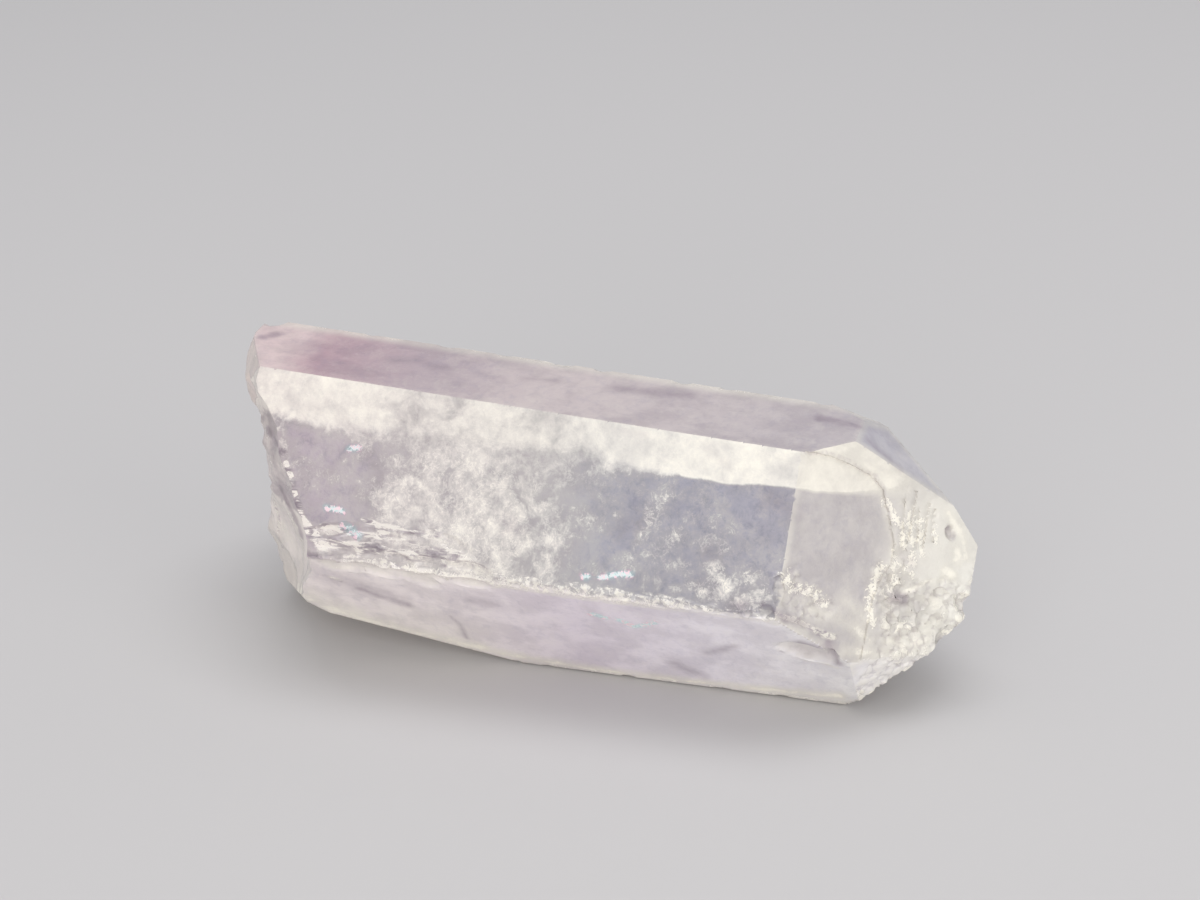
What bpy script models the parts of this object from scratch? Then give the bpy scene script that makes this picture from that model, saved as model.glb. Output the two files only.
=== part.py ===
"""A clear quartz point: one six-sided crystal lying on a prism face.

Metres, +Z up. +X runs from the broken root to the tip. The origin lies on the
surface that the crystal rests on, under the middle of the crystal's box.

The crystal is cut out of a block in its own frame: its axis is X, its root is
near x = 0, and a direction around the axis is an angle that starts at the
front (-Y) and turns up towards +Z. Marks on a face are placed in the face's
own frame: along it towards the tip, across it, and out of it. At the end the
whole crystal is laid on its resting face.
"""

import math
import random
from functools import partial

import bmesh
import bpy
from mathutils import Euler, Matrix, Vector

# ---- Driving dimensions --------------------------------------------------------

NODE = "quartz_point"

# Prism faces: direction around the axis and taper towards the tip in degrees,
# and distance from the axis at the root.
PRISM_FACES = {
    "top": (90, 1.82, 0.01903),
    "front_upper": (30, 1.00, 0.01565),
    "front_lower": (-30, 1.15, 0.01608),
    "resting": (-90, 1.74, 0.01903),
    "back_lower": (-150, 1.25, 0.01565),
    "back_upper": (150, 0.75, 0.01471),
}
RESTING = "resting"

# End faces, each over its prism face: where it starts along the axis, how far
# it leans from the prism face (38.2 degrees on a perfect crystal), and its
# twist about the axis.
END_FACES = {
    "top": (0.0777, 41.2, 0.9),
    "front_upper": (0.0726, 40.8, -1.2),
    "front_lower": (0.0800, 32.7, 2.3),
    "resting": (0.0789, 40.0, -0.2),
    "back_lower": (0.0770, 38.1, 1.3),
    "back_upper": (0.0789, 36.6, -0.3),
}

BLOCK = 0.30  # side of the block that the crystal is cut from
STUB = -0.015  # where the block's root side is cut, before the root is broken off

# The shoulder between the top, the back and the tip has a small extra facet:
# how much of the corner it takes off.
SHOULDER_DEPTH = 0.0011

# The root is a conchoidal break. Its mean surface is the outermost of these
# planes, bent over an upright ridge: x on the axis, and how x changes with y
# and with z.
ROOT_PLANES = (
    (-0.00080, -0.80, -0.11),
    (0.00035, -0.50, -0.11),
    (0.00085, -0.25, -0.11),
    (-0.00830, -0.57, 0.46),
)
# Bowls are broken deeper into it: centre y, centre z, radius of curvature,
# depth past the mean surface.
ROOT_BOWLS = (
    (-0.0036, 0.0036, 0.0120, 0.0015),
    (-0.0120, 0.0105, 0.0060, 0.0006),
    (-0.0150, 0.0045, 0.0060, 0.0006),
    (-0.0175, -0.0010, 0.0080, 0.0008),
    (-0.0130, -0.0070, 0.0080, 0.0003),
    (-0.0080, -0.0140, 0.0066, 0.0005),
    (0.0030, 0.0120, 0.0120, 0.0007),
    (0.0075, 0.0160, 0.0080, 0.0011),
    (0.0080, -0.0020, 0.0200, 0.0013),
    (0.0060, -0.0130, 0.0120, 0.0007),
    (0.0165, 0.0050, 0.0110, 0.0014),
)
ROOT_HALF_WIDTH = 0.0230
ROOT_CELLS = 40
ROOT_RIPPLE = 0.00010  # height of the arcs in each bowl
ROOT_RIPPLE_PITCH = 0.0021

# A knob stands on it low at the front: centre y, centre z, radius, height.
ROOT_KNOB = (0.0010, -0.0108, 0.0050, 0.0024)

# Flat breaks: three points on each, in the crystal's frame.
BREAKS = (
    # A long flake is missing under the root's lower front edge.
    ((0.0375, -0.0074, -0.0179), (0.0138, -0.0109, -0.0127), (0.0060, 0.0030, -0.0188)),
    # The root's lower front corner is rounded off.
    ((0.0098, -0.0141, -0.0073), (0.0107, -0.0123, -0.0104), (0.0057, -0.0039, -0.0149)),
    ((0.0104, -0.0123, -0.0104), (0.0143, -0.0106, -0.0133), (0.0079, -0.0021, -0.0180)),
    # So is its upper front corner.
    ((-0.0002, 0.0012, 0.0190), (-0.0003, 0.0049, 0.0190), (-0.0052, 0.0128, 0.0142)),
    ((0.0009, -0.0022, 0.0190), (-0.0002, 0.0018, 0.0190), (-0.0046, 0.0096, 0.0142)),
)

# The front upper end face has a thin growth layer over its upper and tip side.
# The area that the layer leaves bare is lower by its thickness. Outline: along
# the face from its start, and across it.
LAYER_THICKNESS = 0.00032
BARE_HEIGHT = 0.030  # of the cutter that bares the area
BARE_OUTLINE = (
    (0.0003, 0.0111),
    (0.0036, 0.0110),
    (0.0065, 0.0104),
    (0.0098, 0.0093),
    (0.0114, 0.0080),
    (0.0121, 0.0063),
    (0.0129, 0.0046),
    (0.0140, 0.0018),
    (0.0139, -0.0004),
    (0.0127, -0.0026),
    (0.0120, -0.0050),
    (0.0119, -0.0074),
    (0.0112, -0.0150),
    (-0.0080, -0.0150),
    (-0.0080, 0.0111),
)

# Small growth steps run across the same face near the tip: along the face,
# middle across it, length across it, turn in degrees.
TIP_STEPS = (
    (0.0149, 0.0042, 0.0062, 4),
    (0.0160, 0.0050, 0.0068, -3),
    (0.0170, 0.0038, 0.0050, 5),
    (0.0181, 0.0044, 0.0054, -2),
    (0.0192, 0.0046, 0.0040, 3),
    (0.0158, -0.0010, 0.0030, 6),
)
TIP_STEP_WIDTH = 0.0011
TIP_STEP_DEPTH = 0.00022
TIP_STEP_DROP = 0.00018  # how far along the face the steep side runs

# A chip's place is a face, an end face as "... end", or the edge between two
# of them as "... / ...". On an edge, along is counted from x = 0, and across
# is to the left of it, seen from outside with the tip to the right.
# Single chips: place, along, across, length, width, depth, turn in degrees.
CHIPS = (
    # The shell broken from the lower front face near the tip.
    ("front_lower", 0.0752, 0.0012, 0.0082, 0.0040, 0.00095, -16),
    ("front_lower", 0.0778, 0.0010, 0.0024, 0.0040, 0.00100, 10),
    # Chips at the corner of the front edge and the tip.
    ("front_upper", 0.0722, -0.0052, 0.0022, 0.0042, 0.00050, 5),
    ("front_upper", 0.0708, -0.0078, 0.0020, 0.0016, 0.00055, 0),
    ("front_upper end", 0.0022, -0.0062, 0.0036, 0.0026, 0.00050, -20),
    ("front_upper end", 0.0047, -0.0064, 0.0028, 0.0030, 0.00045, 30),
    ("front_upper end", 0.0036, -0.0086, 0.0040, 0.0022, 0.00055, -35),
    # A pit, and notches in the rim of the tip.
    ("front_upper end", 0.0214, 0.0040, 0.0015, 0.0019, 0.00045, 20),
    ("front_upper end", 0.0247, -0.0042, 0.0026, 0.0034, 0.00080, 70),
    ("front_upper end", 0.0228, -0.0084, 0.0036, 0.0024, 0.00070, 45),
    # The top face's far edge, and its corner at the root.
    ("top", 0.0390, 0.0060, 0.0040, 0.0014, 0.00035, 0),
    ("top", 0.0000, 0.0064, 0.0050, 0.0050, 0.00150, 30),
    # Shells broken from the back edges.
    ("back_upper / back_lower", 0.0210, 0.0002, 0.0090, 0.0050, 0.00110, 6),
    ("back_upper / back_lower", 0.0590, -0.0003, 0.0060, 0.0034, 0.00075, -8),
    ("back_lower / resting", 0.0400, 0.0008, 0.0070, 0.0036, 0.00070, 5),
)

# Bands of small chips: place, from and to along it, from and to across it,
# count, mean length, mean width, mean depth.
CHIP_BANDS = (
    # The splintered ledges over the front edge, near the root.
    ("front_upper", 0.0150, 0.0320, -0.0062, -0.0050, 5, 0.0068, 0.0022, 0.00042),
    ("front_upper", 0.0150, 0.0360, -0.0086, -0.0074, 7, 0.0064, 0.0024, 0.00062),
    ("front_lower", 0.0160, 0.0350, 0.0062, 0.0085, 7, 0.0058, 0.0024, 0.00052),
    # The crumbled crest of the front edge, from there to the tip end.
    ("front_upper / front_lower", 0.0350, 0.0715, -0.0005, 0.0005, 32, 0.0023, 0.0018, 0.00036),
    # The rough ground low on the front upper end face.
    ("front_upper end", 0.0140, 0.0215, -0.0095, -0.0030, 20, 0.0023, 0.0018, 0.00030),
    ("front_upper end", 0.0140, 0.0165, -0.0030, 0.0010, 6, 0.0016, 0.0018, 0.00028),
    # Nicks along the other edges.
    ("front_lower / resting", 0.0200, 0.0760, -0.0003, 0.0003, 6, 0.0024, 0.0016, 0.00022),
    ("top / back_upper", 0.0100, 0.0740, -0.0003, 0.0003, 8, 0.0026, 0.0016, 0.00026),
    ("back_upper / back_lower", 0.0120, 0.0740, -0.0004, 0.0004, 14, 0.0026, 0.0018, 0.00034),
    ("back_lower / resting", 0.0120, 0.0740, -0.0003, 0.0003, 9, 0.0024, 0.0016, 0.00026),
)
FINE_CHIP = 0.0020  # a chip longer than this gets a finer surface
SEED = 10

SHORTEST_EDGE = 0.00004  # edges shorter than this are closed up

# The exact solver leaves open edges where the chips meet, so the small cuts use
# the other one.
SMALL_CUTS_SOLVER = "MANIFOLD"

COLOUR = (0.86, 0.83, 0.84, 1.0)
ROUGHNESS = 0.12
REFRACTIVE_INDEX = 1.544

AXIS = Vector((1.0, 0.0, 0.0))


# ---- Planes and face frames ------------------------------------------------------


def radial(direction):
    """The unit vector out of the axis in a direction, in degrees from the front up."""
    angle = math.radians(direction)
    return Vector((0.0, -math.cos(angle), math.sin(angle)))


def leaning(direction, lean):
    """The radial direction leant towards the tip by an angle in degrees."""
    angle = math.radians(lean)
    return radial(direction) * math.cos(angle) + AXIS * math.sin(angle)


def foot(name, along):
    """The point of a prism face that lies straight out from the axis at a place along it."""
    direction, taper, distance = PRISM_FACES[name]
    return AXIS * along + radial(direction) * (distance - along * math.tan(math.radians(taper)))


def prism_plane(name):
    """A point and the outward normal of a prism face."""
    direction, taper, _ = PRISM_FACES[name]
    return foot(name, 0.0), leaning(direction, taper)


def end_plane(name):
    """A point and the outward normal of the end face over a prism face."""
    start, lean, twist = END_FACES[name]
    return foot(name, start), leaning(PRISM_FACES[name][0] + twist, lean)


def face_frame(name, is_end):
    """A face's own frame: X along it to the tip, Y across it, Z out of it."""
    point, normal = end_plane(name) if is_end else prism_plane(name)
    along = (AXIS - normal * normal.dot(AXIS)).normalized()
    return frame_at(point, along, normal)


def edge_frame(name, other):
    """The frame of an edge between two prism faces, at x = 0 on it."""
    (point, normal), (other_point, other_normal) = prism_plane(name), prism_plane(other)
    sides = Matrix((normal, other_normal, AXIS))
    start = sides.inverted() @ Vector((normal.dot(point), other_normal.dot(other_point), 0))
    along = normal.cross(other_normal).normalized()
    if along.x < 0:
        along.negate()
    return frame_at(start, along, (normal + other_normal).normalized())


def frame_at(point, along, normal):
    """The frame at a point, from its X and Z directions."""
    turn = Matrix((along, normal.cross(along), normal)).transposed().to_4x4()
    return Matrix.Translation(point) @ turn


def frame_of(place):
    """The frame that a chip's place names."""
    if " / " in place:
        return edge_frame(*place.split(" / "))
    name, _, end = place.partition(" ")
    return face_frame(name, end == "end")


# ---- The faceted body ----------------------------------------------------------------


def cut_off(mesh, point, normal):
    """Cuts away what lies past a plane and closes the cut."""
    everything = mesh.verts[:] + mesh.edges[:] + mesh.faces[:]
    cut = bmesh.ops.bisect_plane(
        mesh, geom=everything, plane_co=point, plane_no=normal, clear_outer=True
    )
    rim = [item for item in cut["geom_cut"] if isinstance(item, bmesh.types.BMEdge)]
    if rim:
        bmesh.ops.edgeloop_fill(mesh, edges=rim)


def shoulder_plane():
    """The small facet on the corner of the top, the upper back face and their end faces."""
    sides = [prism_plane("top"), prism_plane("back_upper"), end_plane("top")]
    normals = Matrix([normal for _, normal in sides])
    reach = Vector([normal.dot(point) for point, normal in sides])
    corner = normals.inverted() @ reach
    normal = sum((normal for _, normal in sides), Vector()).normalized()
    return corner - normal * SHOULDER_DEPTH, normal


def break_plane(points):
    """The plane through three points, facing away from the crystal's axis."""
    a, b, c = (Vector(point) for point in points)
    normal = (b - a).cross(c - a).normalized()
    if normal.yz.dot(a.yz) < 0:
        normal.negate()
    return a, normal


def faceted_body():
    """The crystal with flat faces only, from the block's root side to the tip."""
    mesh = bmesh.new()
    bmesh.ops.create_cube(mesh, size=BLOCK)
    cut_off(mesh, AXIS * STUB, -AXIS)
    for name in PRISM_FACES:
        cut_off(mesh, *prism_plane(name))
        cut_off(mesh, *end_plane(name))
    cut_off(mesh, *shoulder_plane())
    for points in BREAKS:
        cut_off(mesh, *break_plane(points))
    return mesh


# ---- Cutters -----------------------------------------------------------------------


def root_mean(y, z):
    """Where the mean surface of the broken root lies along the axis, with its knob."""
    centre_y, centre_z, radius, height = ROOT_KNOB
    spread = math.hypot(y - centre_y, z - centre_z) / radius
    mean = max(x + slope_y * y + slope_z * z for x, slope_y, slope_z in ROOT_PLANES)
    return mean - height * math.exp(-spread * spread)


def root_surface(y, z):
    """Where the broken root lies along the axis, with its bowls."""
    deepest = root_mean(y, z)
    for centre_y, centre_z, radius, depth in ROOT_BOWLS:
        centre = root_mean(centre_y, centre_z) + depth
        spread = math.hypot(y - centre_y, z - centre_z)
        ripple = ROOT_RIPPLE * math.sin(2 * math.pi * spread / ROOT_RIPPLE_PITCH)
        deepest = max(deepest, centre - spread * spread / (2 * radius) + ripple)
    return deepest


def root_cutter(mesh):
    """Everything on the root's side of the break, as a block with the break for one face."""
    step = 2 * ROOT_HALF_WIDTH / ROOT_CELLS
    places = [-ROOT_HALF_WIDTH + step * i for i in range(ROOT_CELLS + 1)]
    rows = [[mesh.verts.new((root_surface(y, z), y, z)) for y in places] for z in places]
    far = [[mesh.verts.new((2 * STUB, y, z)) for y in places] for z in places]
    for i in range(ROOT_CELLS):
        for j in range(ROOT_CELLS):
            mesh.faces.new((rows[i][j], rows[i][j + 1], rows[i + 1][j + 1], rows[i + 1][j]))
            mesh.faces.new((far[i][j], far[i + 1][j], far[i + 1][j + 1], far[i][j + 1]))
    for i in range(ROOT_CELLS):
        mesh.faces.new((rows[0][i], far[0][i], far[0][i + 1], rows[0][i + 1]))
        mesh.faces.new((rows[-1][i], rows[-1][i + 1], far[-1][i + 1], far[-1][i]))
        mesh.faces.new((rows[i][0], rows[i + 1][0], far[i + 1][0], far[i][0]))
        mesh.faces.new((rows[i][-1], far[i][-1], far[i + 1][-1], rows[i + 1][-1]))


def layer_cutter(mesh):
    """The growth layer's thickness over the area that it leaves bare."""
    frame = face_frame("front_upper", True)
    low = [mesh.verts.new(frame @ Vector((a, b, -LAYER_THICKNESS))) for a, b in BARE_OUTLINE]
    floor = mesh.faces.new(low)
    out = bmesh.ops.extrude_face_region(mesh, geom=[floor])
    lid = [item for item in out["geom"] if isinstance(item, bmesh.types.BMVert)]
    bmesh.ops.translate(mesh, verts=lid, vec=frame.to_3x3() @ Vector((0, 0, BARE_HEIGHT)))


def step_cutter(along, across, length, turn, mesh):
    """One growth step: a wedge that is steep on the tip's side and runs out on the other."""
    face = face_frame("front_upper", True)
    spin = Matrix.Rotation(math.radians(turn), 4, "Z")
    frame = face @ Matrix.Translation((along, across, 0)) @ spin
    lift = TIP_STEP_DEPTH
    profile = ((-TIP_STEP_WIDTH, lift), (0, -TIP_STEP_DEPTH), (TIP_STEP_DROP, lift))
    ends = []
    for side in (-length / 2, length / 2):
        ends.append([mesh.verts.new(frame @ Vector((a, side, h))) for a, h in profile])
    mesh.faces.new(ends[0])
    mesh.faces.new(reversed(ends[1]))
    for i in range(3):
        j = (i + 1) % 3
        mesh.faces.new((ends[0][i], ends[1][i], ends[1][j], ends[0][j]))


def chip_ball(dice, place, along, across, length, width, depth, turn):
    """A shelly chip: the matrix of a flattened ball sunk into a place to a depth, and its reach."""
    # The ball is two depths high and its centre stands one depth over the
    # surface, so it meets the surface in a ring this much smaller than itself.
    ring = math.sqrt(0.75)
    size = Matrix.Diagonal((length / 2 / ring, width / 2 / ring, depth * 2, 1))
    spin = Euler([dice.uniform(0, math.pi) for _ in range(3)]).to_matrix().to_4x4()
    spot = Matrix.Translation((along, across, depth)) @ Matrix.Rotation(math.radians(turn), 4, "Z")
    return frame_of(place) @ spot @ size @ spin, max(length, width) / 2 / ring


def band_chips(dice, place, from_along, to_along, from_across, to_across, count, *size):
    """The chips of one band, spread evenly along it with some play."""
    for i in range(count):
        along = from_along + (to_along - from_along) * (i + dice.uniform(0.1, 0.9)) / count
        across = dice.uniform(from_across, to_across)
        length, width, depth = (mean * dice.uniform(0.7, 1.35) for mean in size)
        yield place, along, across, length, width, depth, dice.uniform(-22, 22)


def chip_balls():
    """All the chips, the single ones and those in bands."""
    dice = random.Random(SEED)
    chips = list(CHIPS)
    for band in CHIP_BANDS:
        chips += band_chips(dice, *band)
    return [chip_ball(dice, *chip) for chip in chips]


def apart(ball, other):
    """True if two balls can't touch."""
    (matrix, reach), (other_matrix, other_reach) = ball, other
    return (matrix.translation - other_matrix.translation).length > reach + other_reach


def groups_apart(balls):
    """The balls sorted into groups in which no two touch, because a cutter can't overlap itself."""
    groups = []
    for ball in balls:
        for group in groups:
            if all(apart(ball, other) for other in group):
                group.append(ball)
                break
        else:
            groups.append([ball])
    return groups


def chip_cutter(balls, mesh):
    """One group of chips as faceted balls, the large ones with a finer surface."""
    for matrix, reach in balls:
        level = 2 if reach > FINE_CHIP / 2 else 1
        bmesh.ops.create_icosphere(mesh, subdivisions=level, radius=1, matrix=matrix)


# ---- Making the object ---------------------------------------------------------------


def new_object(name, mesh):
    """Puts a bmesh into the scene as an object, with its faces turned outward."""
    bmesh.ops.recalc_face_normals(mesh, faces=mesh.faces)
    data = bpy.data.meshes.new(name)
    mesh.to_mesh(data)
    mesh.free()
    thing = bpy.data.objects.new(name, data)
    bpy.context.collection.objects.link(thing)
    return thing


def subtract(body, name, fill, solver="EXACT"):
    """Takes away what `fill` puts into a cutter."""
    mesh = bmesh.new()
    fill(mesh)
    cutter = new_object(name, mesh)
    cutter.hide_render = True
    cutter.display_type = "WIRE"
    cut = body.modifiers.new(name, "BOOLEAN")
    cut.operation = "DIFFERENCE"
    cut.solver = solver
    cut.object = cutter


def connected(start):
    """Every face that hangs together with one face over edges."""
    found = {start}
    waiting = [start]
    while waiting:
        for edge in waiting.pop().edges:
            for other in edge.link_faces:
                if other not in found:
                    found.add(other)
                    waiting.append(other)
    return found


def drop_crumbs(mesh):
    """Keeps the crystal and deletes the crumbs that the chips cut loose from it."""
    left = set(mesh.faces)
    pieces = []
    while left:
        pieces.append(connected(next(iter(left))))
        left -= pieces[-1]
    pieces.sort(key=len)
    for crumb in pieces[:-1]:
        bmesh.ops.delete(mesh, geom=list(crumb), context="FACES")


def neighbours(vert):
    """The corners that share an edge with one corner."""
    return {edge.other_vert(vert) for edge in vert.link_edges}


def close_short_edges(mesh):
    """Collapses the short edges that can go without pinching the surface."""
    shrinking = True
    while shrinking:
        shrinking = False
        for edge in sorted(mesh.edges, key=lambda edge: edge.calc_length()):
            if not edge.is_valid:
                continue
            if edge.calc_length() > SHORTEST_EDGE:
                break
            shared = neighbours(edge.verts[0]) & neighbours(edge.verts[1])
            if len(shared) == 2:
                bmesh.ops.collapse(mesh, edges=[edge])
                shrinking = True
                break


def settle(body):
    """The body with its cuts as a plain mesh of triangles, without crumbs and tiny edges."""
    graph = bpy.context.evaluated_depsgraph_get()
    mesh = bmesh.new()
    mesh.from_mesh(body.evaluated_get(graph).to_mesh())
    bmesh.ops.triangulate(mesh, faces=mesh.faces)
    mesh.normal_update()
    drop_crumbs(mesh)
    close_short_edges(mesh)
    return mesh


def lay_down(mesh):
    """Turns the crystal onto its resting face and moves the origin under the middle of its box."""
    turn = Matrix.Rotation(math.radians(PRISM_FACES[RESTING][1]), 4, "Y")
    bmesh.ops.transform(mesh, matrix=turn, verts=mesh.verts)
    corners = [vert.co for vert in mesh.verts]
    low = Vector([min(co[i] for co in corners) for i in range(3)])
    high = Vector([max(co[i] for co in corners) for i in range(3)])
    middle = (low + high) / 2
    shift = Matrix.Translation((-middle.x, -middle.y, -low.z))
    bmesh.ops.transform(mesh, matrix=shift, verts=mesh.verts)
    return shift @ turn


def quartz():
    """The crystal's plain material."""
    material = bpy.data.materials.new("clear_quartz")
    material.use_nodes = True
    shader = material.node_tree.nodes["Principled BSDF"]
    shader.inputs["Base Color"].default_value = COLOUR
    shader.inputs["Roughness"].default_value = ROUGHNESS
    shader.inputs["Metallic"].default_value = 0.0
    shader.inputs["IOR"].default_value = REFRACTIVE_INDEX
    shader.inputs["Transmission Weight"].default_value = 1.0
    return material


def build():
    """Makes the crystal. Returns the matrix that laid it down."""
    for thing in list(bpy.data.objects):
        bpy.data.objects.remove(thing)
    body = new_object("body", faceted_body())
    subtract(body, "root", root_cutter)
    subtract(body, "bare_area", layer_cutter)
    for number, step in enumerate(TIP_STEPS):
        subtract(body, f"step_{number}", partial(step_cutter, *step), SMALL_CUTS_SOLVER)
    for number, balls in enumerate(groups_apart(chip_balls())):
        subtract(body, f"chips_{number}", partial(chip_cutter, balls), SMALL_CUTS_SOLVER)
    mesh = settle(body)
    for thing in list(bpy.data.objects):
        bpy.data.objects.remove(thing)
    laid = lay_down(mesh)
    crystal = new_object(NODE, mesh)
    crystal.data.materials.append(quartz())
    return laid


LAID = build()
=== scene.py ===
"""The look of the clear quartz point: its crystal, its finish and its inner veils.

Metres, in the frame of the CAD. The crystal is a fine mesh made from the CAD
solid. Marks are placed in the crystal's own frame and in its faces' frames, in
millimetres, as in the CAD: along a face towards the tip, across it, and out.
"""
import math

import bmesh
import bpy
import numpy as np
from mathutils import Matrix, Vector, noise
from mathutils.bvhtree import BVHTree
from mathutils.kdtree import KDTree


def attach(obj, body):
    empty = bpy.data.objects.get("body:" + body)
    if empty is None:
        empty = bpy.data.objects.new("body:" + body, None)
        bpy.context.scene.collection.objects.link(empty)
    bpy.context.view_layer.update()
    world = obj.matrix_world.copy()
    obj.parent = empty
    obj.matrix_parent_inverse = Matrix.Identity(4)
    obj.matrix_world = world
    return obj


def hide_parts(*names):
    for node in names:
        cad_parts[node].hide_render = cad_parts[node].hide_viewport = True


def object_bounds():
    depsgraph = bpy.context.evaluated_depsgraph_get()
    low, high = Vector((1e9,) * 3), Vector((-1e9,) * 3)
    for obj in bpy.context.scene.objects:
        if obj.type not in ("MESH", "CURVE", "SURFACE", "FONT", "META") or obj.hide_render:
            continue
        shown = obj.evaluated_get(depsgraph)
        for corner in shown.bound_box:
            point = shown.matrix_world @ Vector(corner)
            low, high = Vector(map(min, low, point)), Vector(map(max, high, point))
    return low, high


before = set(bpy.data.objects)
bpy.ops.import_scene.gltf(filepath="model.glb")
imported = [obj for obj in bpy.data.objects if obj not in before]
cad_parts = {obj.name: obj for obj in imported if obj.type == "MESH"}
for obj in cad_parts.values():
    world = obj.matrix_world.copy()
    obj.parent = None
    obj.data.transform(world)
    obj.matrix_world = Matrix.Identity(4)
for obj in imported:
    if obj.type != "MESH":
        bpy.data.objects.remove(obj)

CAD_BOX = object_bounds()
NODE = "quartz_point"
MM = 0.001

# ---- The crystal's frame and faces ---------------------------------------------

# The crystal's axis is X in its own frame, which is tilted onto the resting
# face and lies at this place in the row's frame.
CRYSTAL_TILT = 1.74
CRYSTAL_PLACE = (-0.044593, 0.000224, 0.019021)

# Prism faces: direction around the axis from the front up and taper towards
# the tip in degrees, distance from the axis at the root in millimetres.
PRISM_FACES = {
    "top": (90, 1.82, 19.03),
    "front_upper": (30, 1.00, 15.65),
    "front_lower": (-30, 1.15, 16.08),
    "resting": (-90, 1.74, 19.03),
    "back_lower": (-150, 1.25, 15.65),
    "back_upper": (150, 0.75, 14.71),
}
# End faces: start along the axis in millimetres, lean and twist in degrees.
END_FACES = {
    "top": (77.7, 41.2, 0.9),
    "front_upper": (72.6, 40.8, -1.2),
    "front_lower": (80.0, 32.7, 2.3),
    "resting": (78.9, 40.0, -0.2),
    "back_lower": (77.0, 38.1, 1.3),
    "back_upper": (78.9, 36.6, -0.3),
}
BARE_DEPTH = 0.32        # mm that the bare part of the front upper end lies under its face

# ---- The mesh ------------------------------------------------------------------------

VOXEL = 0.38 * MM        # between the points of the crystal's mesh
SHARP_ANGLE = 24         # degrees: edges over this stay sharp
PLANE_HOLD = 0.06        # how firmly a point stays near its place while it moves to an edge
LONGEST_MOVE = 0.9 * VOXEL
LUMP_PITCH = 1.25        # mm between the lumps of the rough ground
LUMP_SEED = 1            # of how the lumps are warped

# ---- The finish ------------------------------------------------------------------------

# Tones as sRGB values from 0 to 255.
CREAM = (250, 245, 230)
SHADE = (138, 120, 138)
MAUVE = (150, 132, 158)
INDIGO = (146, 146, 172)
RAINBOW = ((190, 240, 246), (252, 190, 218))

# Transmission of the clearest and of the whitest places.
CLEAREST, WHITEST = 0.90, 0.10
# Roughness of whole faces, white chips and the etched end faces.
GLOSSY, CHIPPED, ETCHED = 0.08, 0.36, 0.26
QUARTZ_IOR = 1.544
ABSORPTION = (0.60, 0.57, 0.65, 1)
ABSORPTION_DENSITY = 46.0
BUMP_STRENGTH = 0.35
BUMP_DISTANCE = 0.12 * MM

# ---- Camera, floor and lights ----------------------------------------------------------

CAMERA_AZIMUTH = 18.372
CAMERA_ELEVATION = 26.573
CAMERA_ROLL = -2.486
CAMERA_EYE = (0.080708, -0.238295, 0.153075)
CAMERA_LENS = 69.0       # mm, on a sensor this wide
CAMERA_SENSOR = 36.0

FLOOR_REACH = 3.0        # from the middle to each side
FLOOR_DROP = 0.2 * MM    # under the crystal
FLOOR_TONE = (198, 196, 195)

SKY = (0.95, 0.96, 1.0, 1)
SKY_STRENGTH = 0.60
# Name, place, what it aims at, size, power, colour.
LIGHTS = (
    ("key", (0.04, -0.64, 0.48), (0, 0, 0.02), (0.7, 0.5), 1.0, (1.0, 0.98, 0.95)),
    ("front", (0.10, -0.78, 0.14), (0, 0, 0.02), (0.8, 0.22), 2.2, (1.0, 0.98, 0.97)),
    ("side", (0.62, -0.30, 0.24), (0.02, 0, 0.02), (0.4, 0.4), 0.9, (1.0, 0.98, 0.95)),
    ("top", (0.05, 0.10, 0.75), (0, 0, 0.02), (0.6, 0.4), 2.2, (0.98, 0.98, 1.0)),
)


# ---- Frames and tones ------------------------------------------------------------------


def radial(direction):
    """Out from the axis, at an angle round it from the front up."""
    angle = math.radians(direction)
    return np.array((0.0, -math.cos(angle), math.sin(angle)))


def face_axes(place):
    """A face's point, and its directions along, across and out, in the crystal's frame."""
    name, _, end = place.partition(" ")
    direction, taper, distance = PRISM_FACES[name]
    start, lean, twist = END_FACES[name] if end else (0.0, taper, 0.0)
    point = radial(direction) * (distance - start * math.tan(math.radians(taper)))
    point[0] += start
    angle = math.radians(lean)
    out = radial(direction + twist) * math.cos(angle) + np.array((math.sin(angle), 0, 0))
    along = np.array((1.0, 0, 0)) - out * out[0]
    along /= np.linalg.norm(along)
    return point, along, np.cross(out, along), out


FACES = list(PRISM_FACES) + [name + " end" for name in END_FACES]
AXES = {place: face_axes(place) for place in FACES}
TO_CRYSTAL = (
    Matrix.Translation(CRYSTAL_PLACE) @ Matrix.Rotation(math.radians(CRYSTAL_TILT), 4, "Y")
).inverted()


def in_crystal(points):
    """Points of the row's frame in the crystal's frame, in millimetres."""
    turn = np.array(TO_CRYSTAL.to_3x3())
    return (points @ turn.T + np.array(TO_CRYSTAL.translation)) / MM


def in_face(points, place):
    """Along, across and out of a face for points of the crystal's frame."""
    point, along, across, out = AXES[place]
    offset = points - point
    return offset @ along, offset @ across, offset @ out


def step(low, high, values):
    """0 under low, 1 over high, smooth between."""
    t = np.clip((values - low) / (high - low), 0, 1)
    return t * t * (3 - 2 * t)


def linear(tones):
    """Colours from 0 to 255 per channel as linear values."""
    part = np.array(tones) / 255
    return np.where(part < 0.04045, part / 12.92, ((part + 0.055) / 1.055) ** 2.4)


def tone(red, green, blue):
    return (*linear((red, green, blue)), 1.0)


# ---- Mesh building ---------------------------------------------------------------------


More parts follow.
